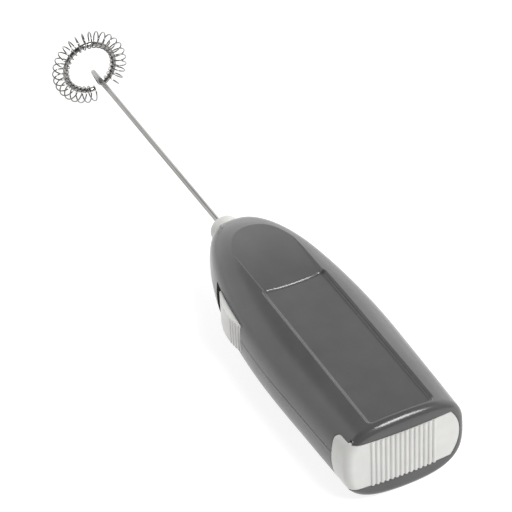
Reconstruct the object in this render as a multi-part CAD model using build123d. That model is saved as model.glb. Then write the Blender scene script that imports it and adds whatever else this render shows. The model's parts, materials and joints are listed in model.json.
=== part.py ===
from build123d import *
import os
from math import atan, cos, pi, radians, sin, sqrt, tan

# A hand-held milk frother, in millimetres.
# It is drawn lying on its back: X runs across it, Y along it from the battery cover (y = 0)
# to the whisk, and Z up from the flat back (z = 0). Every piece is saved with the origin moved
# to the middle of the flat back, at y = REST_Y.
REST_Y = 32.0

# Casing, outside. Its cross-section is a superellipse, and these are its half sizes.
BODY_LENGTH = 104.0
BAND_Z = 13.1            # middle of the battery cover
AXIS_Z = 14.1            # whisk shaft, and the joint between the two shells
SQUARENESS = 2.9         # exponent of the superellipse
HALF_WIDTH = dict(start=17.85, full=19.0, end=5.0, peak=0.32, power=2.4, blunt=0.62)
ABOVE_BAND = dict(start=12.0, full=13.6, end=7.3, peak=0.75, power=2.07, blunt=0.62)
BELOW_BAND = dict(start=13.3, full=13.3, end=5.2, peak=0.61, power=2.06, blunt=0.62)
END_BULGE_R = 184.0      # the battery end is a very shallow cylinder
END_EDGE_R = 2.4
WALL = 1.8
STATIONS = 14
SECTION_POINTS = 24

# Seam between the shells
SEAM_HEIGHT = 0.18
SEAM_DEPTH = 0.25
HALF_GAP = 0.01          # each shell stops this far from the joint plane

# Front panel and the facet between it and the nose
PANEL_HALF = 9.6
PANEL_START = 3.1
PANEL_END = 64.3
PANEL_ARC = 0.9
PANEL_DEPTH = 1.8
PANEL_WALL = 1.5
CEILING_END = 97.0       # the wall under the panel runs on this far, under the facet
PANEL_FOOT_R = 0.9
PANEL_RIM_R = 0.6
FACET_R = 340.0          # the facet's floor is a very shallow crown
FACET_CREST_Y = 84.0
FACET_CREST_Z = BAND_Z + 12.45
FACET_HALF = 8.5
FACET_NOSE_Y = (85.0, 95.5)
FACET_WALL_ANGLE = 38.0

# Battery cover and its opening
BAND_H = 15.3
COVER_GAP = 0.15
COVER_THICK = 2.8
COVER_END_X = 16.0       # where the rounded end of the cover stops
COVER_END_R = 11.7
WRAP_LENGTH = 8.5        # how far the cover comes round the narrow side
WRAP_X = -15.0
WRAP_CORNER_R = 2.2
END_WALL = 3.7
RIB_COUNT = 14
RIB_PITCH = 1.41
RIB_R = 0.52
RIB_PROUD = 0.42
RIB_MIDDLE_X = -1.2
TONGUE_Y = (2.0, 2.75)
TONGUE_REACH = 0.7
TONGUE_X = (-15.0, 10.5)
GROOVE_GAP = 0.12

# Nose bush
BUSH_R = 4.6
BUSH_TIP_Y = 111.0
BUSH_FLANGE_Y = (98.4, 100.0)
BUSH_FLANGE_R = 5.9
BUSH_EDGE_R = 2.0

# Whisk: one wire, and a fine coil round its ring
WIRE_R = 0.8
RING_Y = 211.9
RING_R = 8.7
RING_ARM_ANGLE = -67.0   # degrees from +X, seen from the battery end
RING_SWEEP = 332.0
ARM_DROP = 2.3           # the arm starts this far below the ring
ARM_TURN = 13.0          # angle round the ring in which the arm turns into it
WIRE_START_Y = 93.6
WIRE_BEND = 1.7
COIL_TURNS = 28
COIL_POINTS = 10
COIL_LEAD = 17.0         # angle from the arm to the first turn
COIL_SWEEP = 326.0
COIL_WIRE_R = 0.23
COIL_R = 2.65            # radius of one turn, to the middle of its wire
COIL_SHIFT = 1.60        # turns hang outwards from the ring by this
COUPLING_Y = (89.8, 97.6)
COUPLING_R = 2.2

# Batteries, two AA cells
CELL_R = 7.2
CELL_X = 7.45
CELL_START_Y = 5.6
CELL_LENGTH = 49.4
CELL_NUB_R = 2.75
CELL_NUB = 1.0
CARRIER_Y = 58.2
CARRIER_THICK = 1.4

# Motor, a common flat-sided can
CAN_Y = (64.0, 87.0)
CAN_R = 10.05
CAN_FLAT = 15.1
CAN_WALL = 0.6
MOTOR_SHAFT_R = 1.0
MOTOR_SHAFT_Y = (62.0, 93.4)
ARMATURE_R = 6.4
POLES = 3
CORE_Y = (69.5, 80.5)
COMMUTATOR_Y = (65.6, 68.0)
COMMUTATOR_R = 2.2

# Sliding switch, on the narrow side at -X
SLOT_Y = (61.0, 82.4)
SLOT_HALF = 4.7
KNOB_Y = (61.2, 78.2)
KNOB_HALF = 4.5
KNOB_CREST_Y = 69.0
KNOB_CREST = 1.35        # how far the crest stands out of the casing
KNOB_RIB_COUNT = 4
KNOB_RIB_PITCH = 1.3
KNOB_RIB_R = 0.34
FLANGE_X = (-13.0, -12.1)
FLANGE_Y = (60.0, 78.5)
FLANGE_HALF = 5.3
SWITCH_TRAVEL = 4.0
FLANGE_ROOM = 0.2

RUNNING = 0.05           # radial clearance of a shaft in a bush
FIT = 0.02               # gap between pieces that are pressed together
SEAT = 0.05              # gap round a moulded piece in its seat


def along(y, start, full, end, peak, power, blunt):
    """A half size that runs straight from start to full at the peak, then rounds off to end."""
    u = y / BODY_LENGTH
    if u < peak:
        return start + (full - start) * u / peak
    k = min((u - peak) / (1 - peak), 1.0)
    swell = (full - start) / peak * (1 - peak) * k * (1 - k)
    return end + (full - end) * (1 - k**power) ** blunt + swell


def superellipse(angle, a, b):
    """A point of a superellipse with half sizes a and b."""
    c, s = cos(angle), sin(angle)
    x = a * abs(c) ** (2 / SQUARENESS) * (1 if c > 0 else -1)
    z = b * abs(s) ** (2 / SQUARENESS) * (1 if s > 0 else -1)
    return x, z


def casing_section(y, inset):
    """The casing's outline at y, drawn inset from the outside."""
    shown = max(y, 0.0)
    half_width = along(shown, **HALF_WIDTH) - inset
    above = along(shown, **ABOVE_BAND) - inset
    below = along(shown, **BELOW_BAND) - inset
    middle = BAND_Z + (above - below) / 2
    points = []
    for i in range(SECTION_POINTS):
        angle = 2 * pi * (i + 0.5) / SECTION_POINTS
        x, z = superellipse(angle, half_width, (above + below) / 2)
        points.append((x, y * (1 - inset / BODY_LENGTH), middle + z))
    return Wire([Spline(points, periodic=True)])


def casing_form(inset=0.0):
    """The casing as a solid form, a given distance inside its outer surface."""
    places = [-4.0] + [BODY_LENGTH * sin(pi / 2 * i / STATIONS) for i in range(STATIONS + 1)]
    return Solid.make_loft([casing_section(y, inset) for y in places])


def block(x, y, z):
    """A box given by its lowest and highest x, y and z."""
    size = (x[1] - x[0], y[1] - y[0], z[1] - z[0])
    return Pos((x[0] + x[1]) / 2, (y[0] + y[1]) / 2, (z[0] + z[1]) / 2) * Box(*size)


def rod(radius, y0, y1, x=0.0, z=AXIS_Z):
    """A round bar along Y."""
    return Pos(x, (y0 + y1) / 2, z) * Rot(90, 0, 0) * Cylinder(radius, y1 - y0)


def tube(outer, inner, y0, y1, x=0.0, z=AXIS_Z):
    return rod(outer, y0, y1, x, z) - rod(inner, y0 - 1, y1 + 1, x, z)


def end_face_y(x):
    """How far the bulged battery end stands back at x."""
    return END_BULGE_R - sqrt(END_BULGE_R**2 - x**2)


def panel_plane(depth):
    """A plane under the front of the casing, which it follows at a given depth."""
    rise = (ABOVE_BAND["full"] - ABOVE_BAND["start"]) / (ABOVE_BAND["peak"] * BODY_LENGTH)
    slope = atan(rise)
    return Plane(
        origin=(0, 0, BAND_Z + ABOVE_BAND["start"] - depth),
        x_dir=(1, 0, 0),
        z_dir=(0, -sin(slope), cos(slope)),
    )


def panel_cutter():
    """The sunk panel's space: a flat floor that follows the front, and curved ends."""
    h = PANEL_HALF
    near = PANEL_START + end_face_y(h)
    sides = [
        Line((-h, near), (-h, PANEL_END + PANEL_ARC)),
        ThreePointArc((-h, PANEL_END + PANEL_ARC), (0, PANEL_END), (h, PANEL_END + PANEL_ARC)),
        Line((h, PANEL_END + PANEL_ARC), (h, near)),
        ThreePointArc((h, near), (0, PANEL_START), (-h, near)),
    ]
    outline = make_face(sides)
    outline = fillet(outline.vertices(), 1.6)
    cutter = extrude(panel_plane(PANEL_DEPTH) * outline, 8)
    foot = cutter.faces().sort_by(Axis.Z)[0].edges()
    return fillet(foot, PANEL_FOOT_R)


def facet_cutter():
    """The facet's space: a crowned floor between sloping walls that run out at the nose."""
    h = FACET_HALF
    start = PANEL_END - PANEL_ARC
    shoulder, nose = FACET_NOSE_Y
    level = FACET_CREST_Z - 1
    outline = make_face([
        Line((-h, start), (-h, shoulder)),
        ThreePointArc((-h, shoulder), (0, nose), (h, shoulder)),
        Line((h, shoulder), (h, start)),
        Line((h, start), (-h, start)),
    ])
    walls = extrude(Pos(0, 0, level) * outline, 6, taper=-FACET_WALL_ANGLE)
    crown = Pos(0, FACET_CREST_Y, FACET_CREST_Z - FACET_R) * Rot(0, 90, 0) * Cylinder(FACET_R, 60)
    return walls - crown - block((-40, 40), (0, start + 0.5), (0, 60))


def outer_form():
    """The whole outside of the casing, before anything is cut through it."""
    form = casing_form() & (Pos(0, END_BULGE_R, BAND_Z) * Cylinder(END_BULGE_R, 80))
    end_edge = [edge for edge in form.edges() if edge.bounding_box().max.Y < END_EDGE_R]
    form = fillet(end_edge, END_EDGE_R)
    form = form & block((-40, 40), (-10, 130), (0, 60))
    form = form - panel_cutter()
    rim = [edge for edge in form.edges() if is_panel_rim(edge)]
    form = fillet(rim, PANEL_RIM_R)
    return form - facet_cutter()


def is_panel_rim(edge):
    """True for the edges where the panel's walls meet the front."""
    box = edge.bounding_box()
    middle = edge.center()
    crown = BAND_Z + along(middle.Y, **ABOVE_BAND)
    over_panel = box.min.Y > PANEL_START - 0.5 and box.max.Y < PANEL_END + PANEL_ARC + 0.1
    near_front = middle.Z > crown - 1.35 and box.max.Z - box.min.Z < 1.5
    return over_panel and near_front and abs(middle.X) < PANEL_HALF + 0.1


def ceiling(depth):
    """The space over a plane this far under the front, along the panel and the facet."""
    return panel_plane(depth) * block((-PANEL_HALF - 1.5, PANEL_HALF + 1.5), (-3, CEILING_END), (0, 10))


def cavity():
    """The hollow inside the casing, as far as the battery end's wall and below the panel."""
    hollow = casing_form(WALL) & block((-40, 40), (END_WALL, 130), (0, 60))
    return hollow - ceiling(PANEL_DEPTH + PANEL_WALL)


def slice_of_cavity(y0, y1, gap=0.0):
    """A plate across the hollow, a given distance clear of its walls."""
    plate = casing_form(WALL + gap) & block((-40, 40), (y0, y1), (0, 60))
    return plate - ceiling(PANEL_DEPTH + PANEL_WALL + gap)


def band(grow, y0, y1):
    """The battery cover's outline along Y: open on the left, rounded on the right."""
    half = BAND_H / 2 + grow
    low, high = BAND_Z - half, BAND_Z + half
    end_x = COVER_END_X + grow
    arc_x = end_x - COVER_END_R + sqrt(COVER_END_R**2 - half**2)
    outline = make_face([
        Line((-40, y0, low), (arc_x, y0, low)),
        ThreePointArc((arc_x, y0, low), (end_x, y0, BAND_Z), (arc_x, y0, high)),
        Line((arc_x, y0, high), (-40, y0, high)),
        Line((-40, y0, high), (-40, y0, low)),
    ])
    return extrude(outline, y1 - y0, dir=(0, 1, 0))


def wrap(grow, inner_x):
    """The part of the cover's outline that comes round the narrow side."""
    half = BAND_H / 2 + grow
    piece = block((-40, inner_x), (-5, WRAP_LENGTH + grow), (BAND_Z - half, BAND_Z + half))
    corners = piece.edges().filter_by(Axis.X).group_by(Axis.Y)[-1]
    return fillet(corners, WRAP_CORNER_R + grow)


def tongues(grow, x0):
    """The cover's two guide tongues, or with grow the grooves that they slide in."""
    reach = BAND_H / 2 + TONGUE_REACH + grow
    return block(
        (x0, TONGUE_X[1] + grow),
        (TONGUE_Y[0] - grow, TONGUE_Y[1] + grow),
        (BAND_Z - reach, BAND_Z + reach),
    )


def seam():
    """The shallow line round the casing where the two shells meet."""
    half = SEAM_HEIGHT / 2
    slab = block((-40, 40), (-10, 130), (AXIS_Z - half, AXIS_Z + half))
    return slab - casing_form(SEAM_DEPTH)


def motor_form(gap=0.0, y0=CAN_Y[0], y1=CAN_Y[1]):
    """The motor's flat-sided round can as a solid form, grown by gap."""
    half = CAN_FLAT / 2 + gap
    return rod(CAN_R + gap, y0, y1) & block((-40, 40), (y0, y1), (AXIS_Z - half, AXIS_Z + half))


def motor_cradles():
    """Ribs across the casing that hold the motor, open on the switch's side."""
    cradles = slice_of_cavity(82.5, 84.1) + slice_of_cavity(72.6, 74.2)
    switch_room = block((-40, -CAN_R - 0.2), (60, 90), (AXIS_Z - 7, AXIS_Z + 7))
    return cradles - motor_form(FIT, 60, 90) - switch_room


def flange_room():
    """The space inside the casing that the switch's flange slides in."""
    g = FLANGE_ROOM
    return block(
        (FLANGE_X[0] - g, FLANGE_X[1] + g),
        (FLANGE_Y[0] - g, FLANGE_Y[1] + SWITCH_TRAVEL + g),
        (AXIS_Z - FLANGE_HALF - g, AXIS_Z + FLANGE_HALF + g),
    )


def shells():
    """The front and back halves of the casing."""
    casing = outer_form() - cavity() + motor_cradles()
    casing -= band(0, -5, END_WALL + 1)
    casing -= wrap(0, WRAP_X + 1)
    casing -= tongues(GROOVE_GAP, -40)
    casing -= seam()
    casing -= block((-40, -10), SLOT_Y, (AXIS_Z - SLOT_HALF, AXIS_Z + SLOT_HALF))
    casing -= flange_room()
    casing -= rod(BUSH_R + SEAT, 90, 130)
    casing -= rod(BUSH_FLANGE_R + SEAT, 90, BUSH_FLANGE_Y[1] + SEAT)
    front = casing & block((-40, 40), (-10, 130), (AXIS_Z + HALF_GAP, 60))
    back = casing & block((-40, 40), (-10, 130), (-5, AXIS_Z - HALF_GAP))
    return front, back


def nose_bush():
    body = rod(BUSH_R, BUSH_FLANGE_Y[0], BUSH_TIP_Y)
    tip_edge = body.edges().filter_by(GeomType.CIRCLE).sort_by(Axis.Y)[-1]
    body = fillet(tip_edge, BUSH_EDGE_R)
    flange = rod(BUSH_FLANGE_R, *BUSH_FLANGE_Y)
    return body + flange - rod(WIRE_R + RUNNING, 90, 130)


def battery_cover():
    """The ribbed cover, flush with the casing, with its tongues."""
    face = band(-COVER_GAP, -5, COVER_THICK)
    side = wrap(-COVER_GAP, WRAP_X - 0.1)
    cover = outer_form() & (face + side)
    cover += tongues(0, TONGUE_X[0]) - block((-40, 40), (-5, 20), (
        BAND_Z - BAND_H / 2 + 1, BAND_Z + BAND_H / 2 - 1))
    half = BAND_H / 2 - COVER_GAP
    for i in range(RIB_COUNT):
        x = RIB_MIDDLE_X + (i - (RIB_COUNT - 1) / 2) * RIB_PITCH
        y = end_face_y(x) + RIB_R - RIB_PROUD
        cover += Pos(x, y, BAND_Z) * Cylinder(RIB_R, 2 * half)
    return cover


def contact_spring(x, y0, y1, turns):
    """A short conical spring along Y, its wide end at y0."""
    wire_r = 0.3
    height = y1 - y0 - 2 * wire_r
    path = Helix(height / turns, height, 3.4, cone_angle=-20)
    profile = Plane(origin=path @ 0, z_dir=path % 0) * Circle(wire_r)
    spring = sweep(profile, path=path, is_frenet=True)
    return Pos(x, y0 + wire_r, BAND_Z) * Rot(-90, 0, 0) * spring


def cover_contact_plate():
    """Bridge plate on the inside of the cover, with a bump for the cell's cap."""
    y = COVER_THICK + FIT
    plate = block((-12.5, 12.5), (y, y + 0.3), (BAND_Z - 5.5, BAND_Z + 5.5))
    return plate + rod(2.4, y, CELL_START_Y - 0.3, CELL_X, BAND_Z)


def cover_spring():
    return contact_spring(-CELL_X, COVER_THICK + 2 * FIT + 0.3, CELL_START_Y - 0.3, 2.5)


def battery(side):
    """One AA cell; the left one points to the motor, the right one to the cover."""
    x = side * CELL_X
    end = CELL_START_Y + CELL_LENGTH + CELL_NUB
    if side < 0:
        body = rod(CELL_R, CELL_START_Y, end - CELL_NUB, x, BAND_Z)
        nub = rod(CELL_NUB_R, end - CELL_NUB - 1, end, x, BAND_Z)
    else:
        body = rod(CELL_R, CELL_START_Y + CELL_NUB, end, x, BAND_Z)
        nub = rod(CELL_NUB_R, CELL_START_Y, CELL_START_Y + CELL_NUB + 1, x, BAND_Z)
    body = fillet(body.edges().filter_by(GeomType.CIRCLE), 0.6)
    return body + nub


def contact_carrier():
    """Wall between the batteries and the motor bay."""
    y = (CARRIER_Y, CARRIER_Y + CARRIER_THICK)
    wall = slice_of_cavity(*y, gap=SEAT)
    for side in (-1, 1):
        wall -= rod(1.2, 50, 70, side * CELL_X, BAND_Z)
    return wall


def battery_contact_positive():
    """Plate in the carrier that the left cell's cap touches."""
    y = (CARRIER_Y - 0.3 - FIT, CARRIER_Y - FIT)
    plate = block((-CELL_X - 4.5, -CELL_X + 4.5), y, (BAND_Z - 4.5, BAND_Z + 4.5))
    cap_y = CELL_START_Y + CELL_LENGTH + CELL_NUB
    return plate + rod(2.2, cap_y + FIT, y[1], -CELL_X, BAND_Z) + contact_tail(-1)


def battery_contact_negative():
    """Plate and spring in the carrier that press on the right cell."""
    y = (CARRIER_Y - 0.3 - FIT, CARRIER_Y - FIT)
    plate = block((CELL_X - 4.5, CELL_X + 4.5), y, (BAND_Z - 4.5, BAND_Z + 4.5))
    return plate + contact_tail(1)


def contact_tail(side):
    """The leg of a battery contact that goes through the carrier."""
    return rod(1.1, CARRIER_Y - FIT - 0.1, CARRIER_Y + CARRIER_THICK + 1.0, side * CELL_X, BAND_Z)


def battery_spring():
    cell_end = CELL_START_Y + CELL_LENGTH + CELL_NUB
    plate_y = CARRIER_Y - 0.3 - 2 * FIT
    spring = contact_spring(0, 0, plate_y - cell_end - FIT, 1.5)
    return Pos(CELL_X, plate_y, BAND_Z) * Rot(0, 0, 180) * Pos(0, 0, -BAND_Z) * spring


def switch_knob():
    """Sliding button: a ribbed hump outside, a stem in the slot and a flange behind the wall."""
    stem = casing_form() & block((-40, FLANGE_X[0]), KNOB_Y, (AXIS_Z - KNOB_HALF, AXIS_Z + KNOB_HALF))
    base_x = -along(KNOB_CREST_Y, **HALF_WIDTH) - KNOB_CREST
    nose_x = -along(KNOB_Y[1], **HALF_WIDTH) - 0.1
    start_x = -along(KNOB_Y[0], **HALF_WIDTH) + 0.15
    hump = make_face([
        Line((FLANGE_X[0], KNOB_Y[0]), (start_x, KNOB_Y[0])),
        Spline((start_x, KNOB_Y[0]), (base_x, KNOB_CREST_Y), (nose_x, KNOB_Y[1])),
        Line((nose_x, KNOB_Y[1]), (FLANGE_X[0], KNOB_Y[1])),
        Line((FLANGE_X[0], KNOB_Y[1]), (FLANGE_X[0], KNOB_Y[0])),
    ])
    knob = Pos(0, 0, AXIS_Z - KNOB_HALF) * extrude(hump, 2 * KNOB_HALF)
    for i in range(KNOB_RIB_COUNT):
        y = KNOB_Y[0] + 1.0 + i * KNOB_RIB_PITCH
        share = (y - KNOB_Y[0]) / (KNOB_CREST_Y - KNOB_Y[0])
        x = start_x + (base_x - start_x) * sin(share * pi / 2)
        knob += Pos(x, y, AXIS_Z) * Cylinder(KNOB_RIB_R, 2 * KNOB_HALF)
    flange = block(FLANGE_X, FLANGE_Y, (AXIS_Z - FLANGE_HALF, AXIS_Z + FLANGE_HALF))
    return knob + flange


def switch_wiper():
    """Bent strip under the button that bridges the two fixed strips."""
    x = FLANGE_X[1] + FIT
    strip = block((x, x + 0.25), (66.0, 75.0), (AXIS_Z - 1.5, AXIS_Z + 1.5))
    for y in (67.0, 74.0):
        strip += Pos(x + 0.45, y, AXIS_Z) * Cylinder(0.4, 3)
    return strip


def switch_strip(y0, y1, tab_y):
    """A fixed contact strip beside the motor, with a tab at its end."""
    x = -CAN_R - 0.45
    strip = block((x - 0.25, x), (y0, y1), (AXIS_Z - 1.5, AXIS_Z + 1.5))
    return strip + block((x - 0.25, x + 0.2), (tab_y, tab_y + 0.25), (AXIS_Z - 1.5, AXIS_Z + 1.5))


def motor_can():
    shell = motor_form() - motor_form(-CAN_WALL, CAN_Y[0] - 1, CAN_Y[1] - CAN_WALL)
    boss = rod(3.1, CAN_Y[1] - 0.1, CAN_Y[1] + 1.5)
    return shell + boss - rod(2.6 + FIT, 80, 95)


def motor_end_cap():
    plug = motor_form(-CAN_WALL - FIT, CAN_Y[0], CAN_Y[0] + 1.2)
    lid = motor_form(0, CAN_Y[0] - 1.2, CAN_Y[0] - FIT)
    boss = rod(3.2, CAN_Y[0] - 2.0, CAN_Y[0])
    cap = plug + lid + boss - rod(2.4 + FIT, 60, 67)
    for side in (-1, 1):
        cap -= Pos(side * 6, CAN_Y[0], AXIS_Z) * Box(0.5 + 2 * FIT, 8, 3.0 + 2 * FIT)
    return cap


def motor_magnets():
    ring = tube(CAN_R - CAN_WALL - FIT, 7.1, 68.0, 82.0)
    sides = ring & block((-40, -4.6), (60, 90), (AXIS_Z - 5.6, AXIS_Z + 5.6))
    return Compound([sides, mirror(sides, Plane.YZ)])


def motor_terminals():
    tabs = []
    for side in (-1, 1):
        tabs.append(Pos(side * 6, 63.6, AXIS_Z) * Box(0.5, 6.4, 3.0))
    return Compound(tabs)


def motor_brushes():
    """Two carbon brushes on leaf springs beside the commutator."""
    pair = []
    y = sum(COMMUTATOR_Y) / 2
    for side in (-1, 1):
        carbon = Pos(side * (COMMUTATOR_R + 0.9), y, AXIS_Z) * Box(1.6, 1.4, 1.8)
        leaf = Pos(side * (COMMUTATOR_R + 1.8), y, AXIS_Z + 1.0) * Box(0.2, 1.4, 6.0)
        foot = Pos(side * (COMMUTATOR_R + 2.7), y, AXIS_Z + 3.9) * Box(2.0, 1.4, 0.2)
        pair.append(carbon + leaf + foot)
    return Compound(pair)


def motor_bush_front():
    return tube(2.6, MOTOR_SHAFT_R + RUNNING, CAN_Y[1] - CAN_WALL, CAN_Y[1] + 1.8)


def motor_bush_rear():
    return tube(2.4, MOTOR_SHAFT_R + RUNNING, CAN_Y[0] - 1.6, CAN_Y[0] + 1.0)


def motor_shaft():
    return rod(MOTOR_SHAFT_R, *MOTOR_SHAFT_Y)


def pole_places():
    return [Pos(0, 0, AXIS_Z) * Rot(0, 360 / POLES * i, 0) * Pos(0, 0, -AXIS_Z) for i in range(POLES)]


def armature_core():
    """Laminated core with three poles."""
    core = rod(2.3, *CORE_Y)
    for place in pole_places():
        stem = block((1.0, ARMATURE_R - 0.6), CORE_Y, (AXIS_Z - 1.1, AXIS_Z + 1.1))
        shoe = tube(ARMATURE_R, ARMATURE_R - 1.1, *CORE_Y)
        shoe &= block((2.6, 40), CORE_Y, (AXIS_Z - 5.0, AXIS_Z + 5.0))
        core += place * (stem + shoe)
    return core - rod(MOTOR_SHAFT_R, 60, 95)


def armature_windings():
    """Wire wound round each pole, as one closed form per pole."""
    coils = []
    for place in pole_places():
        coil = Pos(3.6, sum(CORE_Y) / 2, AXIS_Z) * Box(2.3, CORE_Y[1] - CORE_Y[0] + 3.2, 4.0)
        coil = fillet(coil.edges().filter_by(Axis.X), 0.9)
        inside = block((0, 10), (CORE_Y[0] - FIT, CORE_Y[1] + FIT), (AXIS_Z - 1.1 - FIT, AXIS_Z + 1.1 + FIT))
        coils.append(place * (coil - inside))
    return Compound(coils)


def commutator():
    body = tube(COMMUTATOR_R, MOTOR_SHAFT_R, *COMMUTATOR_Y)
    for place in pole_places():
        body -= place * block((1.5, 4), (60, 70), (AXIS_Z - 0.2, AXIS_Z + 0.2))
    return body


def shaft_coupling():
    y0, y1 = COUPLING_Y
    joint_y = (MOTOR_SHAFT_Y[1] + WIRE_START_Y) / 2
    body = rod(COUPLING_R, y0, y1)
    body = chamfer(body.edges().filter_by(GeomType.CIRCLE), 0.3)
    return body - rod(MOTOR_SHAFT_R, y0 - 1, joint_y) - rod(WIRE_R, joint_y - 0.1, y1 + 1)


def ring_point(angle, radius=RING_R):
    """A point of the whisk's ring; the angle runs from +X towards +Z."""
    a = radians(angle)
    return Vector(radius * cos(a), RING_Y, AXIS_Z + radius * sin(a))


def corner_arc(corner, back, ahead, reach):
    """An arc that rounds a corner, touching its two sides at a given reach from it."""
    half = radians(back.get_angle(ahead) / 2)
    middle = corner + (back + ahead).normalized() * reach * (1 / cos(half) - tan(half))
    return Edge.make_three_point_arc(corner + back * reach, middle, corner + ahead * reach)


def whisk_wire():
    """A straight shaft, bent out along a slanting arm and then round the ring."""
    start = Vector(0, WIRE_START_Y, AXIS_Z)
    shaft_corner = Vector(0, RING_Y - ARM_DROP, AXIS_Z)
    ring_corner = ring_point(RING_ARM_ANGLE, RING_R / cos(radians(ARM_TURN)))
    start_angle = RING_ARM_ANGLE + ARM_TURN
    ring_start = ring_point(start_angle)
    back = Vector(0, -1, 0)
    arm = (ring_corner - shaft_corner).normalized()
    reach = (ring_start - ring_corner).length
    path = Wire([
        Edge.make_line(start, shaft_corner + back * WIRE_BEND),
        corner_arc(shaft_corner, back, arm, WIRE_BEND),
        Edge.make_line(shaft_corner + arm * WIRE_BEND, ring_corner - arm * reach),
        corner_arc(ring_corner, -arm, (ring_start - ring_corner).normalized(), reach),
        Edge.make_three_point_arc(
            ring_start,
            ring_point(start_angle + RING_SWEEP / 2),
            ring_point(start_angle + RING_SWEEP),
        ),
    ])
    section = Plane(origin=start, z_dir=(0, 1, 0)) * Circle(WIRE_R)
    return sweep(section, path=path)


def whisk_coil():
    """The fine wire wound round the ring as one open coil, a little off its centre."""
    points = []
    count = COIL_TURNS * COIL_POINTS
    for i in range(count + 1):
        angle = RING_ARM_ANGLE + COIL_LEAD + COIL_SWEEP * i / count
        turn = 2 * pi * i / COIL_POINTS
        point = ring_point(angle, RING_R + COIL_SHIFT - COIL_R * cos(turn))
        points.append(point + Vector(0, COIL_R * sin(turn), 0))
    path = Edge.make_spline(points)
    section = Plane(origin=path @ 0, z_dir=path % 0) * Circle(COIL_WIRE_R)
    return sweep(section, path=path, is_frenet=True)


def save(shape, name):
    """Write one piece with the origin at the middle of the flat back."""
    export_step(Pos(0, -REST_Y, 0) * shape, f"parts/{name}.step")


def main():
    os.makedirs("parts", exist_ok=True)
    front, back = shells()
    save(front, "front_shell")
    save(back, "back_shell")
    save(nose_bush(), "nose_bush")
    save(battery_cover(), "battery_cover")
    save(cover_contact_plate(), "cover_contact_plate")
    save(cover_spring(), "cover_spring")
    save(battery(-1), "battery_left")
    save(battery(1), "battery_right")
    save(contact_carrier(), "contact_carrier")
    save(battery_contact_positive(), "battery_contact_positive")
    save(battery_contact_negative(), "battery_contact_negative")
    save(battery_spring(), "battery_spring")
    save(switch_knob(), "switch_knob")
    save(switch_wiper(), "switch_wiper")
    save(switch_strip(61.0, 68.2, 61.0), "switch_strip_battery")
    save(switch_strip(72.6, 84.0, 83.75), "switch_strip_motor")
    save(motor_can(), "motor_can")
    save(motor_end_cap(), "motor_end_cap")
    save(motor_magnets(), "motor_magnets")
    save(motor_terminals(), "motor_terminals")
    save(motor_brushes(), "motor_brushes")
    save(motor_bush_front(), "motor_bush_front")
    save(motor_bush_rear(), "motor_bush_rear")
    save(motor_shaft(), "motor_shaft")
    save(armature_core(), "armature_core")
    save(armature_windings(), "armature_windings")
    save(commutator(), "commutator")
    save(shaft_coupling(), "shaft_coupling")
    save(whisk_wire(), "whisk_wire")
    save(whisk_coil(), "whisk_coil")


main()
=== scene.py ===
import json
from math import cos, radians, sin

import bpy
from mathutils import Matrix, Vector

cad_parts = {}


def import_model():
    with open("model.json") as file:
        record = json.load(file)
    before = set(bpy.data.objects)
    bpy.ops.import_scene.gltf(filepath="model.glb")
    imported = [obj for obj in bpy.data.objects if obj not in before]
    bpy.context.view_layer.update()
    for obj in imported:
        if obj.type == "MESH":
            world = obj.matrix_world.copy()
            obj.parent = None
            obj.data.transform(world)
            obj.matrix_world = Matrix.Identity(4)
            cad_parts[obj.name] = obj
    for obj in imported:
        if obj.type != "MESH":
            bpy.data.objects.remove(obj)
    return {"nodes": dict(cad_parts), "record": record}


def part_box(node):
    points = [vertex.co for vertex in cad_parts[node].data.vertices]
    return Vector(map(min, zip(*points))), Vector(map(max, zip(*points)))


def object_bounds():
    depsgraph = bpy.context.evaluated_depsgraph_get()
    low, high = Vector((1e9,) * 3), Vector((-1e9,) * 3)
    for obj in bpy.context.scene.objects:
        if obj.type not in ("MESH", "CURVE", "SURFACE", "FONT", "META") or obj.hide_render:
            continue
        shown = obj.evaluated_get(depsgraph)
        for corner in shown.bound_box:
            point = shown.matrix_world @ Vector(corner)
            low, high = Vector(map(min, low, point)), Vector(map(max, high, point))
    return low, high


MM = 0.001

# The camera looks down on the battery end, from the side that holds the switch.
CAMERA_AZIMUTH = radians(-24.62)
CAMERA_ELEVATION = radians(37.61)
CAMERA_ROLL = radians(-3.18)
CAMERA_DISTANCE = 620.9 * MM
CAMERA_LENS = 151.5
AIM_ALONG = 0.4088       # the point looked at, as shares of the length from the battery end,
AIM_ACROSS = -0.0145     # of half the width and of the height
AIM_UP = 0.6864

# The room's brightness, by the height looked at and by how near that is to its bright side
ROOM_HEIGHTS = [(-0.2, 1.0), (0.58, 1.0), (0.70, 0.2), (1.0, 0.2)]
ROOM_BRIGHT_SIDE = (0.35, 0.94, 0.0)
ROOM_SIDES = [(-1.0, 0.08), (-0.2, 0.14), (0.5, 0.9), (1.0, 1.0)]
ROOM_STRENGTH = 1.7

# Colours, linear
CASING_DARK = (0.062, 0.063, 0.062)
CASING_PALE = (0.074, 0.075, 0.074)
WHITE_PALE = (0.63, 0.63, 0.61)
WHITE_DARK = (0.58, 0.58, 0.56)
STEEL_PALE = (0.36, 0.355, 0.345)
STEEL_DARK = (0.23, 0.227, 0.22)
NICKEL_PALE = (0.70, 0.67, 0.61)
NICKEL_DARK = (0.52, 0.50, 0.45)
COPPER_PALE = (0.80, 0.42, 0.26)
COPPER_DARK = (0.55, 0.25, 0.13)
BRASS_PALE = (0.78, 0.60, 0.30)
BRASS_DARK = (0.58, 0.42, 0.18)
BRONZE_PALE = (0.48, 0.33, 0.18)
BRONZE_DARK = (0.30, 0.19, 0.10)
FERRITE_PALE = (0.050, 0.050, 0.053)
FERRITE_DARK = (0.028, 0.028, 0.030)
NYLON_PALE = (0.72, 0.70, 0.64)
NYLON_DARK = (0.63, 0.61, 0.55)
BLACK_PALE = (0.040, 0.040, 0.040)
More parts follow.
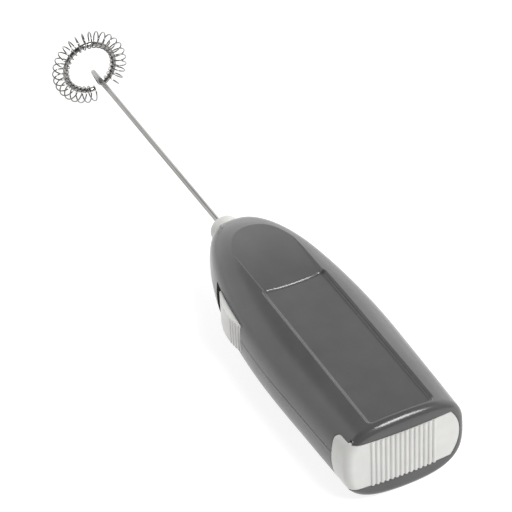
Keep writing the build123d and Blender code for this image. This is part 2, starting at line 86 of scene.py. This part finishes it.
BLACK_DARK = (0.025, 0.025, 0.025)
JACKET = (0.020, 0.070, 0.095)
JACKET_BAND = (0.55, 0.56, 0.55)

LAMINATION_GAP = (0.16, 0.16, 0.17)
LAMINATION_EDGE = (0.44, 0.44, 0.44)
FLOOR_DARK = (0.28, 0.28, 0.28)
FLOOR_PALE = (0.31, 0.31, 0.31)

# Lengths along a cell's jacket, from its two ends
CELL_BARE_END = 0.9 * MM
CELL_BAND = 9.0 * MM
CELL_NUB = 1.6 * MM

# The one lamp, placed from the model's centre, and the glow of the floor
KEY_PLACE = (0.25, -0.55, 0.80)
KEY_SIZE = (0.45, 0.35)
KEY_POWER = 10
FLOOR_GLOW = 0.85
FLOOR_SPREAD = 12        # its side, in lengths of the model
FLOOR_DROP = 0.05 * MM


class Surface:
    """A material built on one Principled shader, with the nodes that feed it."""

    def __init__(self, name, roughness, metallic=0.0, **sockets):
        self.material = bpy.data.materials.new(name)
        self.material.use_nodes = True
        self.tree = self.material.node_tree
        self.shader = self.tree.nodes["Principled BSDF"]
        self.shader.inputs["Roughness"].default_value = roughness
        self.shader.inputs["Metallic"].default_value = metallic
        for socket, value in sockets.items():
            self.shader.inputs[socket.replace("_", " ")].default_value = value
        self.place = self.tree.nodes.new("ShaderNodeTexCoord").outputs["Object"]
        self.normal = None

    def node(self, kind, **values):
        """A new node, with its input sockets set by name."""
        made = self.tree.nodes.new(kind)
        for socket, value in values.items():
            made.inputs[socket.replace("_", " ")].default_value = value
        return made

    def link(self, source, target):
        self.tree.links.new(source, target)

    def noise(self, size, detail=3.0, stretch=(1, 1, 1)):
        """Noise whose features have a size in metres, longer along an axis that is stretched."""
        scale = [1 / (size * factor) for factor in stretch]
        mapping = self.node("ShaderNodeMapping", Scale=scale)
        self.link(self.place, mapping.inputs["Vector"])
        noise = self.node("ShaderNodeTexNoise", Scale=1.0, Detail=detail, Roughness=0.5)
        self.link(mapping.outputs["Vector"], noise.inputs["Vector"])
        return noise.outputs["Fac"]

    def spread(self, value, low, high, start=0.3, end=0.7):
        """A value between start and end, spread over low to high."""
        spread = self.node("ShaderNodeMapRange", From_Min=start, From_Max=end, To_Min=low, To_Max=high)
        self.link(value, spread.inputs["Value"])
        return spread.outputs["Result"]

    def tone(self, dark, pale, pattern):
        """The surface's colour, between two tones that follow a pattern."""
        ramp = self.node("ShaderNodeValToRGB")
        ramp.color_ramp.elements[0].position = 0.3
        ramp.color_ramp.elements[0].color = (*dark, 1)
        ramp.color_ramp.elements[1].position = 0.7
        ramp.color_ramp.elements[1].color = (*pale, 1)
        self.link(pattern, ramp.inputs["Fac"])
        self.link(ramp.outputs["Color"], self.shader.inputs["Base Color"])

    def polish(self, low, high, pattern):
        """The surface's roughness, varied by a pattern."""
        self.link(self.spread(pattern, low, high), self.shader.inputs["Roughness"])

    def soften(self, radius):
        """Edges that catch the light as if they were rounded by a small radius."""
        bevel = self.tree.nodes.new("ShaderNodeBevel")
        bevel.samples = 6
        bevel.inputs["Radius"].default_value = radius
        self.set_normal(bevel.outputs["Normal"])

    def relief(self, pattern, depth):
        """Fine relief of a depth in metres, on top of what is there."""
        bump = self.node("ShaderNodeBump", Strength=1.0, Distance=depth)
        self.link(pattern, bump.inputs["Height"])
        if self.normal:
            self.link(self.normal, bump.inputs["Normal"])
        self.set_normal(bump.outputs["Normal"])

    def set_normal(self, normal):
        self.normal = normal
        self.link(normal, self.shader.inputs["Normal"])


def casing_plastic():
    """Glossy dark grey moulding, with a slight waviness and a few duller patches."""
    s = Surface("casing_plastic", 0.2, IOR=1.5)
    s.tone(CASING_DARK, CASING_PALE, s.noise(9 * MM, 4, (1, 2, 1)))
    s.polish(0.18, 0.26, s.noise(5 * MM, 5))
    s.soften(0.25 * MM)
    s.relief(s.noise(3.5 * MM, 2), 0.012 * MM)
    s.relief(s.noise(0.25 * MM, 2), 0.0012 * MM)
    return s.material


def white_plastic(name, roughness):
    """White moulding with a soft gloss and a fine grain."""
    s = Surface(name, roughness, IOR=1.48, Subsurface_Weight=0.08, Subsurface_Scale=1.2 * MM)
    s.tone(WHITE_DARK, WHITE_PALE, s.noise(7 * MM, 4))
    s.polish(roughness - 0.05, roughness + 0.06, s.noise(3 * MM, 4))
    s.soften(0.15 * MM)
    s.relief(s.noise(0.22 * MM, 3), 0.004 * MM)
    return s.material


def drawn_metal(name, dark, pale, roughness, stretch):
    """Metal with fine lines along the way it was drawn, rolled or turned."""
    s = Surface(name, roughness, 1.0)
    s.tone(dark, pale, s.noise(3 * MM, 4, stretch))
    lines = s.noise(0.15 * MM, 2, stretch)
    s.polish(roughness - 0.06, roughness + 0.08, lines)
    s.soften(0.08 * MM)
    s.relief(lines, 0.004 * MM)
    return s.material


def dull_solid(name, dark, pale, roughness, grain=0.3 * MM, depth=0.01 * MM):
    """A moulded or pressed solid with a visible grain."""
    s = Surface(name, roughness, IOR=1.5)
    s.tone(dark, pale, s.noise(2.5 * MM, 4))
    s.polish(roughness - 0.06, roughness + 0.06, s.noise(1.5 * MM, 4))
    s.soften(0.12 * MM)
    s.relief(s.noise(grain, 3), depth)
    return s.material


def laminations():
    """Thin steel sheets stacked along the motor's axis, with dark gaps between them."""
    s = Surface("core_steel", 0.4, 1.0)
    stripes = s.node("ShaderNodeTexWave", Scale=1 / (3.2 * MM), Distortion=0.15, Detail=1.0)
    stripes.bands_direction = "Y"
    s.link(s.place, stripes.inputs["Vector"])
    s.tone(LAMINATION_GAP, LAMINATION_EDGE, stripes.outputs["Fac"])
    s.polish(0.34, 0.5, s.noise(1 * MM, 3))
    s.relief(stripes.outputs["Fac"], 0.05 * MM)
    return s.material


def winding_wire():
    """Rows of enamelled copper wire laid side by side."""
    s = Surface("copper_wire", 0.3, 0.9, Coat_Weight=0.6, Coat_Roughness=0.15)
    rows = s.node("ShaderNodeTexWave", Scale=1 / (1.9 * MM), Distortion=0.6, Detail=1.5)
    rows.bands_direction = "DIAGONAL"
    s.link(s.place, rows.inputs["Vector"])
    s.tone(COPPER_DARK, COPPER_PALE, rows.outputs["Fac"])
    s.polish(0.24, 0.38, s.noise(1 * MM, 3))
    s.relief(rows.outputs["Fac"], 0.12 * MM)
    return s.material


def battery_jacket(low, high):
    """A shrink jacket with a plain band, between the bare metal ends of a cell."""
    s = Surface("battery_jacket", 0.3, Coat_Weight=0.5, Coat_Roughness=0.12)
    along = s.tree.nodes.new("ShaderNodeSeparateXYZ")
    s.link(s.place, along.inputs["Vector"])
    share = s.spread(along.outputs["Y"], 0, 1, low, high)
    length = high - low
    ends = s.node("ShaderNodeValToRGB")
    ends.color_ramp.interpolation = "CONSTANT"
    stops = [
        (CELL_BARE_END / length, JACKET),
        (1 - (CELL_BAND + CELL_NUB) / length, JACKET_BAND),
        (1 - CELL_NUB / length, STEEL_PALE),
    ]
    elements = ends.color_ramp.elements
    elements.remove(elements[-1])
    elements[0].color = (*STEEL_PALE, 1)
    for place, color in stops:
        elements.new(place).color = (*color, 1)
    s.link(share, ends.inputs["Fac"])
    s.link(ends.outputs["Color"], s.shader.inputs["Base Color"])
    s.polish(0.24, 0.38, s.noise(4 * MM, 4))
    s.soften(0.2 * MM)
    s.relief(s.noise(0.8 * MM, 3), 0.01 * MM)
    return s.material


def make_materials():
    """Every material, by the record's slot name."""
    cell_low, cell_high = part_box("battery_right")
    turned = (3, 1, 3)
    along = (1, 14, 1)
    return {
        "casing_plastic": casing_plastic(),
        "cover_plastic": white_plastic("cover_plastic", 0.36),
        "switch_plastic": white_plastic("switch_plastic", 0.34),
        "bush_plastic": white_plastic("bush_plastic", 0.44),
        "whisk_steel": drawn_metal("whisk_steel", STEEL_DARK, STEEL_PALE, 0.15, along),
        "coil_steel": drawn_metal("coil_steel", STEEL_DARK, STEEL_PALE, 0.15, (1, 1, 1)),
        "contact_metal": drawn_metal("contact_metal", NICKEL_DARK, NICKEL_PALE, 0.28, (8, 1, 1)),
        "spring_wire": drawn_metal("spring_wire", NICKEL_DARK, NICKEL_PALE, 0.25, (2, 1, 2)),
        "copper_strip": drawn_metal("copper_strip", COPPER_DARK, COPPER_PALE, 0.3, along),
        "motor_steel": drawn_metal("motor_steel", STEEL_DARK, STEEL_PALE, 0.34, along),
        "bearing_bronze": drawn_metal("bearing_bronze", BRONZE_DARK, BRONZE_PALE, 0.42, turned),
        "shaft_steel": drawn_metal("shaft_steel", STEEL_DARK, STEEL_PALE, 0.22, turned),
        "copper_bar": drawn_metal("copper_bar", COPPER_DARK, COPPER_PALE, 0.26, turned),
        "coupling_brass": drawn_metal("coupling_brass", BRASS_DARK, BRASS_PALE, 0.27, turned),
        "carrier_plastic": dull_solid("carrier_plastic", BLACK_DARK, BLACK_PALE, 0.42),
        "end_cap_plastic": dull_solid("end_cap_plastic", NYLON_DARK, NYLON_PALE, 0.46),
        "ferrite": dull_solid("ferrite", FERRITE_DARK, FERRITE_PALE, 0.6, 0.2 * MM, 0.02 * MM),
        "core_steel": laminations(),
        "copper_wire": winding_wire(),
        "battery_jacket": battery_jacket(cell_low[1], cell_high[1]),
    }


def dress(frame):
    """Gives each CAD node the material of its slot in the record."""
    materials = make_materials()
    for part in frame["record"]["subparts"]:
        obj = frame["nodes"][part["node"]]
        for slot in obj.material_slots:
            slot.material = materials[part["material_slot"]]


def make_camera(low, high):
    """A long lens from above the battery end."""
    back = Vector((
        sin(CAMERA_AZIMUTH) * cos(CAMERA_ELEVATION),
        -cos(CAMERA_AZIMUTH) * cos(CAMERA_ELEVATION),
        sin(CAMERA_ELEVATION),
    ))
    aim = Vector((
        AIM_ACROSS * (high[0] - low[0]) / 2,
        low[1] + AIM_ALONG * (high[1] - low[1]),
        low[2] + AIM_UP * (high[2] - low[2]),
    ))
    data = bpy.data.cameras.new("camera")
    data.sensor_width = 36
    data.lens = CAMERA_LENS
    camera = bpy.data.objects.new("camera", data)
    bpy.context.collection.objects.link(camera)
    turn = back.to_track_quat("Z", "Y").to_matrix().to_4x4()
    roll = Matrix.Rotation(CAMERA_ROLL, 4, "Z")
    camera.matrix_world = Matrix.Translation(aim + back * CAMERA_DISTANCE) @ turn @ roll
    bpy.context.scene.camera = camera


def add_light(name, centre, place, size, power):
    """A soft rectangular light at a place relative to the model's centre, facing it."""
    data = bpy.data.lights.new(name, "AREA")
    data.shape = "RECTANGLE"
    data.size, data.size_y = size
    data.energy = power
    light = bpy.data.objects.new(name, data)
    bpy.context.collection.objects.link(light)
    light.location = centre + Vector(place)
    light.rotation_euler = Vector(place).to_track_quat("Z", "Y").to_euler()


def make_world():
    """A room that is bright low down on the whisk's side and dark overhead and behind the camera."""
    world = bpy.data.worlds.new("studio")
    world.use_nodes = True
    bpy.context.scene.world = world
    tree = world.node_tree
    place = tree.nodes.new("ShaderNodeTexCoord").outputs["Generated"]
    split = tree.nodes.new("ShaderNodeSeparateXYZ")
    tree.links.new(place, split.inputs["Vector"])
    height = world_ramp(tree, split.outputs["Z"], ROOM_HEIGHTS)
    towards = tree.nodes.new("ShaderNodeVectorMath")
    towards.operation = "DOT_PRODUCT"
    towards.inputs[1].default_value = ROOM_BRIGHT_SIDE
    tree.links.new(place, towards.inputs[0])
    side = world_ramp(tree, towards.outputs["Value"], ROOM_SIDES)
    both = tree.nodes.new("ShaderNodeMath")
    both.operation = "MULTIPLY"
    tree.links.new(height, both.inputs[0])
    tree.links.new(side, both.inputs[1])
    strength = tree.nodes.new("ShaderNodeMath")
    strength.operation = "MULTIPLY"
    strength.inputs[1].default_value = ROOM_STRENGTH
    tree.links.new(both.outputs["Value"], strength.inputs[0])
    tree.links.new(strength.outputs["Value"], tree.nodes["Background"].inputs["Strength"])
    tree.nodes["Background"].inputs["Color"].default_value = (1, 1, 1, 1)


def world_ramp(tree, value, stops):
    """A smooth curve through (value, brightness) stops, for values from -1 to 1."""
    share = tree.nodes.new("ShaderNodeMapRange")
    share.inputs["From Min"].default_value = -1
    tree.links.new(value, share.inputs["Value"])
    ramp = tree.nodes.new("ShaderNodeValToRGB")
    ramp.color_ramp.interpolation = "EASE"
    elements = ramp.color_ramp.elements
    elements.remove(elements[-1])
    elements[0].position = (stops[0][0] + 1) / 2
    elements[0].color = (stops[0][1], stops[0][1], stops[0][1], 1)
    for place, brightness in stops[1:]:
        elements.new((place + 1) / 2).color = (brightness, brightness, brightness, 1)
    tree.links.new(share.outputs["Result"], ramp.inputs["Fac"])
    return ramp.outputs["Color"]


def make_floor(low, high):
    """A wide, plain, pale floor just under the model."""
    reach = FLOOR_SPREAD * (high[1] - low[1])
    bpy.ops.mesh.primitive_plane_add(size=reach, location=(0, 0, low[2] - FLOOR_DROP))
    floor = bpy.context.object
    floor.name = "floor"
    s = Surface("floor_white", 0.7)
    s.tone(FLOOR_DARK, FLOOR_PALE, s.noise(60 * MM, 3))
    s.shader.inputs["Emission Color"].default_value = (1, 1, 1, 1)
    s.shader.inputs["Emission Strength"].default_value = FLOOR_GLOW
    floor.data.materials.append(s.material)


def main():
    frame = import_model()
    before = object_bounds()
    low, high = before
    centre = (Vector(low) + Vector(high)) / 2
    bpy.context.scene.view_settings.view_transform = "Standard"
    dress(frame)
    make_camera(low, high)
    make_world()
    add_light("key", centre, KEY_PLACE, KEY_SIZE, KEY_POWER)
    make_floor(low, high)


main()
